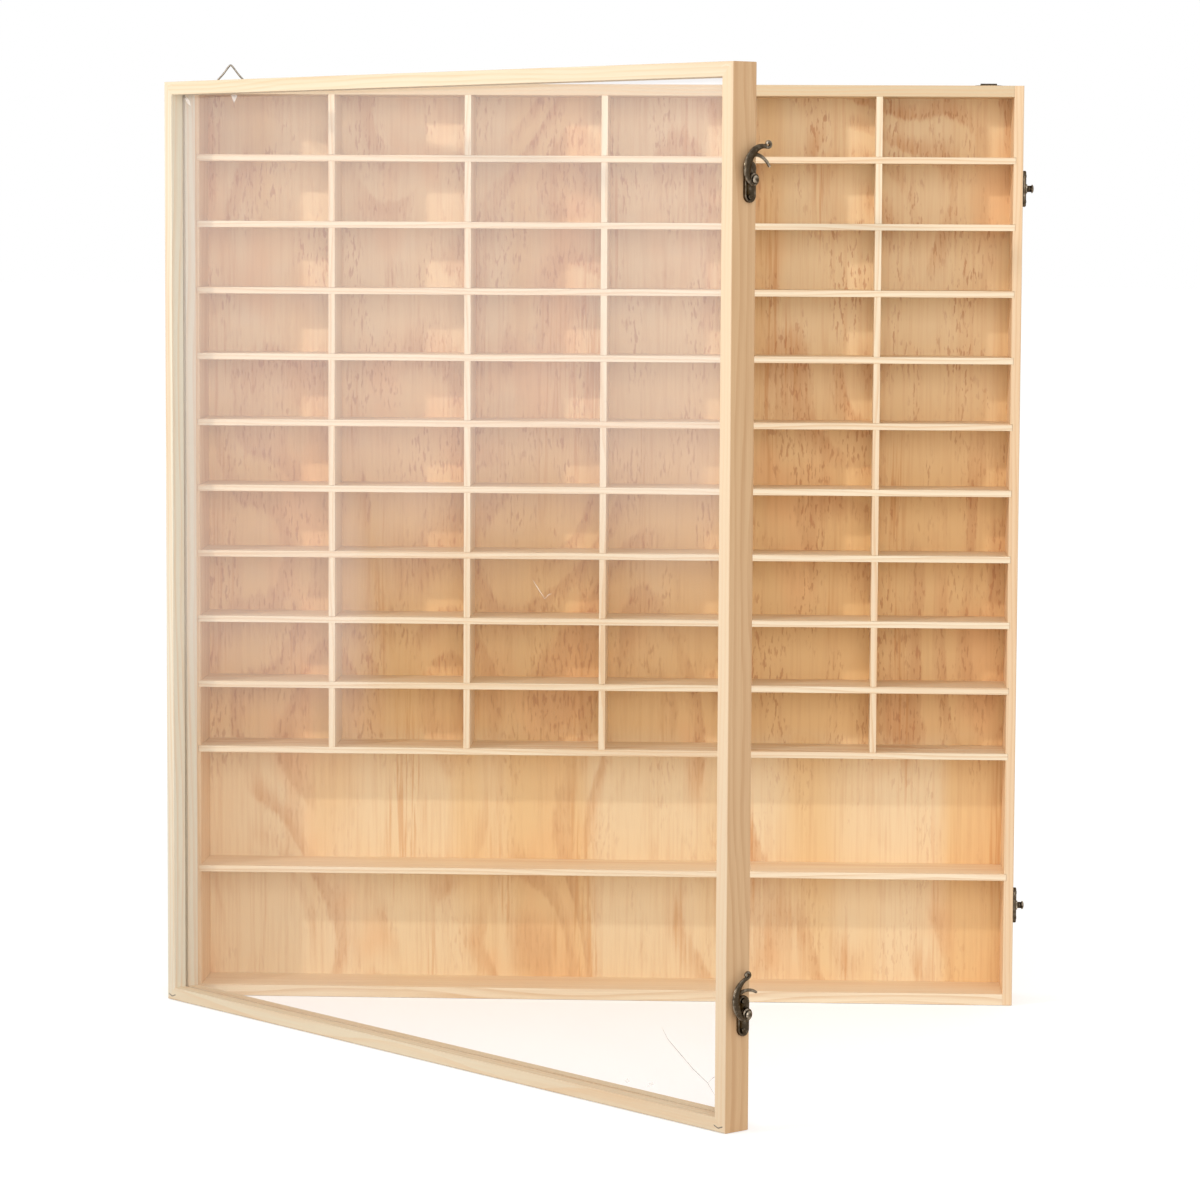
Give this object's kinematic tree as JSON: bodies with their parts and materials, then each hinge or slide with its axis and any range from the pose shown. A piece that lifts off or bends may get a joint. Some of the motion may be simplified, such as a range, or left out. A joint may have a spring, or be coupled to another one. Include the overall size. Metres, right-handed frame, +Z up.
{
  "type": "toy car display case",
  "caption": "Wall-hung wooden display case with a grid of small compartments above two full-width bays, and a clear side-hinged door held by swing hooks.",
  "frame": {"origin": "centre of the case's underside, on the surface that it stands on", "axes": "+X right and -Y out of the open front as the viewer faces it, +Y towards the wall, +Z up"},
  "size_m": [0.5442, 0.4463, 0.5946],
  "materials": {
    "pine_board": "sanded bare pine",
    "pine_frame": "sanded bare pine with long grain",
    "pine_veneer_panel": "sanded pine veneer with cathedral grain",
    "clear_acrylic": "clear, lightly scuffed",
    "antique_bronze": "antiqued, worn on the edges",
    "steel_wire": "bright drawn wire",
    "nail_steel": "dull steel"
  },
  "bodies": {
    "case": {"back_panel": "pine_veneer_panel", "back_panel_pins": "nail_steel", "bottom_board": "pine_board", "case_nails": "nail_steel", "catch_plate_lower": "antique_bronze", "catch_plate_screws": "antique_bronze", "catch_plate_upper": "antique_bronze", "catch_stud_lower": "antique_bronze", "catch_stud_upper": "antique_bronze", "divider_1": "pine_board", "divider_2": "pine_board", "divider_3": "pine_board", "divider_4": "pine_board", "divider_5": "pine_board", "hanger_screws": "antique_bronze", "hanger_strap_left": "antique_bronze", "hanger_strap_right": "antique_bronze", "hinge_case_leaf_lower": "antique_bronze", "hinge_case_leaf_upper": "antique_bronze", "hinge_case_screws": "antique_bronze", "hinge_pin_lower": "antique_bronze", "hinge_pin_upper": "antique_bronze", "large_shelf": "pine_board", "shelf_01": "pine_board", "shelf_02": "pine_board", "shelf_03": "pine_board", "shelf_04": "pine_board", "shelf_05": "pine_board", "shelf_06": "pine_board", "shelf_07": "pine_board", "shelf_08": "pine_board", "shelf_09": "pine_board", "shelf_10": "pine_board", "side_wall_left": "pine_board", "side_wall_right": "pine_board", "top_board": "pine_board"},
    "door": {"acrylic_panel": "clear_acrylic", "corner_nails": "nail_steel", "hinge_door_leaf_lower": "antique_bronze", "hinge_door_leaf_upper": "antique_bronze", "hinge_door_screws": "antique_bronze", "hook_plate_lower": "antique_bronze", "hook_plate_screws": "antique_bronze", "hook_plate_upper": "antique_bronze", "hook_stud_lower": "antique_bronze", "hook_stud_upper": "antique_bronze", "rail_bottom": "pine_frame", "rail_top": "pine_frame", "stile_left": "pine_frame", "stile_right": "pine_frame"},
    "upper_hook": {"hook_upper": "antique_bronze"},
    "lower_hook": {"hook_lower": "antique_bronze"},
    "left_ring": {"hanger_ring_left": "steel_wire"},
    "right_ring": {"hanger_ring_right": "steel_wire"}
  },
  "joints": [
    {"name": "door_hinge", "type": "hinge", "parent": "case", "child": "door", "pos_m": [-0.26415, -0.02365, 0.2905], "axis": [0, 0, -1], "range_deg": [-46.4, 133.6]},
    {"name": "upper_hook_pivot", "type": "hinge", "parent": "door", "child": "upper_hook", "pos_m": [0.09438, -0.40878, 0.5182], "axis": [0.6896, -0.7242, 0], "range_deg": [-81.5, 98.5]},
    {"name": "lower_hook_pivot", "type": "hinge", "parent": "door", "child": "lower_hook", "pos_m": [0.09438, -0.40878, 0.0652], "axis": [0.6896, -0.7242, 0], "range_deg": [-110, 70]},
    {"name": "left_ring_swing", "type": "hinge", "parent": "case", "child": "left_ring", "pos_m": [-0.242, 0.025, 0.5823], "axis": [1, 0, 0], "range_deg": [-180, 92.5]},
    {"name": "right_ring_swing", "type": "hinge", "parent": "case", "child": "right_ring", "pos_m": [0.242, 0.025, 0.5823], "axis": [1, 0, 0], "range_deg": [0, 272.5]}
  ]
}
